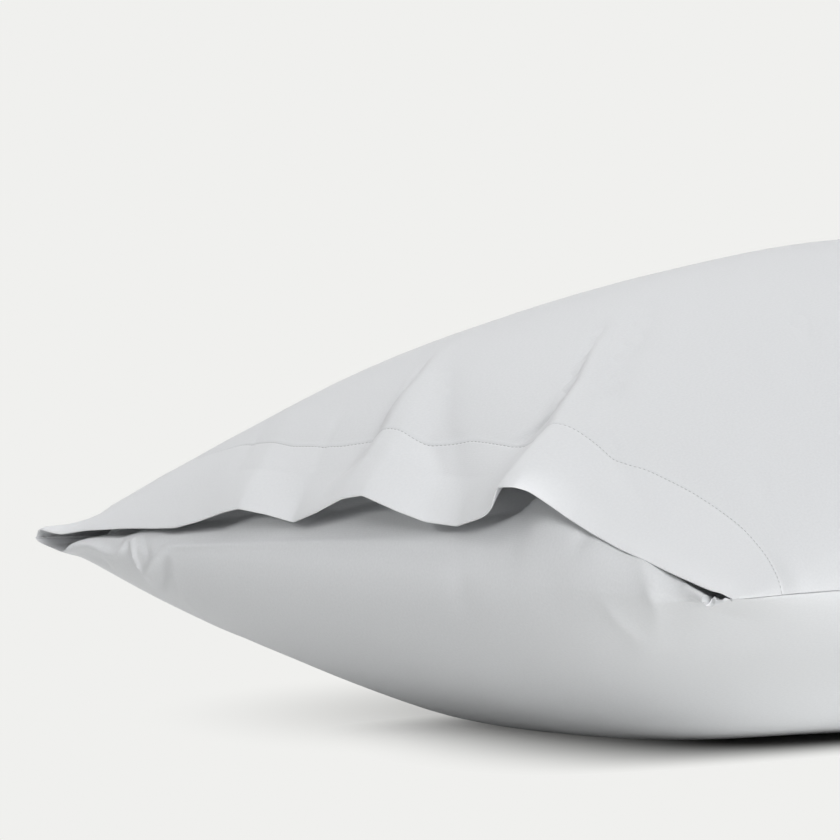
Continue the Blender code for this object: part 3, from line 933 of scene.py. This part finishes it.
def make_floor():
    """A pale floor that is plain white away from the pillow. Close round the pillow's footprint it shows the shade
    that falls there, deepened by a painted shadow."""
    size = 40.0
    mesh = bpy.data.meshes.new("floor")
    mesh.from_pydata([(-size, -size, 0), (size, -size, 0), (size, size, 0), (-size, size, 0)], [], [(0, 1, 2, 3)])
    obj = bpy.data.objects.new("floor", mesh)
    bpy.context.scene.collection.objects.link(obj)
    material = bpy.data.materials.new("floor_paint")
    material.use_nodes = True
    nodes, links = material.node_tree.nodes, material.node_tree.links
    shader = nodes["Principled BSDF"]
    shader.inputs["Base Color"].default_value = (0.80, 0.80, 0.79, 1.0)
    shader.inputs["Roughness"].default_value = 1.0
    shader.inputs["Specular IOR Level"].default_value = 0.0

    def maths(operation, *values):
        node = nodes.new("ShaderNodeMath")
        node.operation = operation
        for slot, value in zip(node.inputs, values):
            if isinstance(value, (int, float)):
                slot.default_value = value
            else:
                links.new(value, slot)
        return node.outputs[0]

    def between(value, low, high):
        node = nodes.new("ShaderNodeMapRange")
        node.interpolation_type = "SMOOTHSTEP"
        for slot, limit in (("From Min", low), ("From Max", high)):
            if isinstance(limit, (int, float)):
                node.inputs[slot].default_value = limit
            else:
                links.new(limit, node.inputs[slot])
        links.new(value, node.inputs["Value"])
        return node.outputs["Result"]

    place = nodes.new("ShaderNodeTexCoord")
    parts = nodes.new("ShaderNodeSeparateXYZ")
    links.new(place.outputs["Object"], parts.inputs[0])
    x, y = parts.outputs[0], parts.outputs[1]
    # Distance from the flat patch that the pillow rests on, 1 at its border.

    def distance(centre, half, power):
        sides = [maths("POWER", maths("DIVIDE", maths("ABSOLUTE", maths("SUBTRACT", at, c)), h), power)
                 for at, c, h in zip((x, y), centre, half)]
        return maths("POWER", maths("ADD", *sides), 1.0 / power)

    ring = distance((0.0, 0.0), (0.221, 0.110), 2.2)
    open_floor = between(ring, 1.04, 1.76)
    # 1 along the near side, which sits lower and closer than the open end does.
    front = between(y, -0.035, -0.075)

    # The shadow under the pillow, seen directly, is deeper than what comes back up from it. Seen directly, the
    # floor's colour is painted darker towards the near side, and a ring round the footprint blends the plain white
    # into it: painted shadow on top of the shade that falls there.
    dark = nodes.new("ShaderNodeBsdfDiffuse")
    painted_shadow_colour = nodes.new("ShaderNodeMix")
    painted_shadow_colour.data_type = "RGBA"
    painted_shadow_colour.inputs["A"].default_value = (1.00, 1.00, 0.985, 1.0)
    painted_shadow_colour.inputs["B"].default_value = (0.23, 0.23, 0.226, 1.0)
    side = between(y, 0.080, -0.061)
    links.new(side, painted_shadow_colour.inputs["Factor"])
    links.new(painted_shadow_colour.outputs["Result"], dark.inputs["Color"])
    seen = nodes.new("ShaderNodeMixShader")
    white = nodes.new("ShaderNodeEmission")
    white.inputs["Color"].default_value = PALE
    # A broad faint painted shade, the white dimmed, reaches out below the raised open end.
    faint_painted_shade = between(distance((-0.1425, 0.0591), (0.2316, 0.2075), 2.0), 1.0, 0.0)
    links.new(maths("SUBTRACT", 1.0, maths("MULTIPLY", faint_painted_shade, 0.60)), white.inputs["Strength"])
    edge_of_shadow = maths("ADD", 1.641, maths("MULTIPLY", side, 0.164))
    # It is as long towards the sewn end as the pillow covers.
    along = maths("MAXIMUM", maths("DIVIDE", maths("SUBTRACT", x, 0.080), 0.105),
                  maths("DIVIDE", maths("SUBTRACT", 0.080, x), 0.2475))
    across = maths("DIVIDE", maths("ABSOLUTE", maths("SUBTRACT", y, -0.0158)), 0.0708)
    painted_shadow_ring = maths("POWER", maths("ADD", maths("POWER", along, 6.74), maths("POWER", across, 6.74)), 1.0 / 6.74)
    links.new(between(painted_shadow_ring, 1.146, edge_of_shadow), seen.inputs["Fac"])
    links.new(dark.outputs["BSDF"], seen.inputs[1])
    links.new(white.outputs["Emission"], seen.inputs[2])

    # What the floor gives back to the pillow is its own glow, painted light in place of light bounced off it: less
    # beside the open end, which stands in its own shade, than along the sides, so that this shade is painted into
    # the glow.
    shade = maths("MULTIPLY", maths("SUBTRACT", 1.0, between(x, -0.30, -0.20)),
                  maths("SUBTRACT", 1.0, between(y, -0.10, -0.18)))
    glow = nodes.new("ShaderNodeEmission")
    glow.inputs["Color"].default_value = PALE
    # Close to the pillow along the near side the floor's colour is painted darker, a painted shade on the light it
    # sends back up.
    colour_with_painted_shade = nodes.new("ShaderNodeMix")
    colour_with_painted_shade.data_type = "RGBA"
    colour_with_painted_shade.inputs["A"].default_value = (0.80, 0.80, 0.79, 1.0)
    colour_with_painted_shade.inputs["B"].default_value = (0.15, 0.15, 0.147, 1.0)
    links.new(maths("MULTIPLY", front, maths("SUBTRACT", 1.0, between(ring, 1.16, 1.40))),
              colour_with_painted_shade.inputs["Factor"])
    links.new(colour_with_painted_shade.outputs["Result"], shader.inputs["Base Color"])
    reach = maths("ADD", maths("MULTIPLY", open_floor, maths("SUBTRACT", 1.0, front)),
                  maths("MULTIPLY", between(ring, 1.18, 1.46), front))
    links.new(maths("MULTIPLY", reach, maths("SUBTRACT", 0.40, maths("MULTIPLY", shade, 0.29))),
              glow.inputs["Strength"])
    lit = nodes.new("ShaderNodeAddShader")
    links.new(shader.outputs["BSDF"], lit.inputs[0])
    links.new(glow.outputs["Emission"], lit.inputs[1])

    path = nodes.new("ShaderNodeLightPath")
    final = nodes.new("ShaderNodeMixShader")
    links.new(path.outputs["Is Camera Ray"], final.inputs["Fac"])
    links.new(lit.outputs["Shader"], final.inputs[1])
    links.new(seen.outputs["Shader"], final.inputs[2])
    links.new(final.outputs["Shader"], nodes["Material Output"].inputs["Surface"])
    mesh.materials.append(material)
    return obj


make_floor()

world = bpy.data.worlds.new("studio")
bpy.context.scene.world = world
world.use_nodes = True
wn, wl = world.node_tree.nodes, world.node_tree.links
sky = wn["Background"]
sky.inputs["Color"].default_value = (1.0, 1.0, 1.0, 1.0)
sky.inputs["Strength"].default_value = 0.0
seen = wn.new("ShaderNodeBackground")
seen.inputs["Color"].default_value = PALE
seen.inputs["Strength"].default_value = 1.0
path = wn.new("ShaderNodeLightPath")
pick = wn.new("ShaderNodeMixShader")
wl.new(path.outputs["Is Camera Ray"], pick.inputs["Fac"])
wl.new(sky.outputs["Background"], pick.inputs[1])
wl.new(seen.outputs["Background"], pick.inputs[2])
wl.new(pick.outputs["Shader"], wn["World Output"].inputs["Surface"])


def softbox(name, azimuth, height, strength, angle):
    """A wide soft light from a compass direction, 0 along +Y and 90 along +X."""
    data = bpy.data.lights.new(name, "SUN")
    data.energy = strength
    data.angle = math.radians(angle)
    a, h = math.radians(azimuth), math.radians(height)
    obj = bpy.data.objects.new(name, data)
    obj.rotation_mode = "QUATERNION"
    obj.rotation_quaternion = Vector((math.sin(a) * math.cos(h), math.cos(a) * math.cos(h), math.sin(h))).to_track_quat("Z", "Y")
    bpy.context.scene.collection.objects.link(obj)
    return obj


softbox("front_low", 200, 8, 0.884, 30)
softbox("front", 200, 28, 2.351, 30)
softbox("back_left", 345, 18, 0.881, 50)
softbox("back_left_high", 345, 48, 0.532, 50)
softbox("back_right", 39, 48, 1.422, 50)

# The camera: low, looking across the open end's near corner with a long lens.
AZIMUTH = math.radians(39.305)
ELEVATION = math.radians(2.368)
ahead = Vector((math.sin(AZIMUTH) * math.cos(ELEVATION),
                math.cos(AZIMUTH) * math.cos(ELEVATION), -math.sin(ELEVATION)))
camera_data = bpy.data.cameras.new("camera")
camera_data.sensor_width = 36.0
camera_data.sensor_fit = "AUTO"
camera_data.lens = 4844.576 / 840.0 * 36.0
camera_data.clip_start, camera_data.clip_end = 0.05, 200.0
camera = bpy.data.objects.new("camera", camera_data)
camera.location = (-1.58942, -1.55907, 0.21931)
camera.rotation_mode = "QUATERNION"
camera.rotation_quaternion = ahead.to_track_quat("-Z", "Y")
bpy.context.scene.collection.objects.link(camera)
bpy.context.scene.camera = camera

bpy.context.scene.view_settings.view_transform = "Standard"
bpy.context.scene.view_settings.look = "None"

bpy.context.view_layer.update()
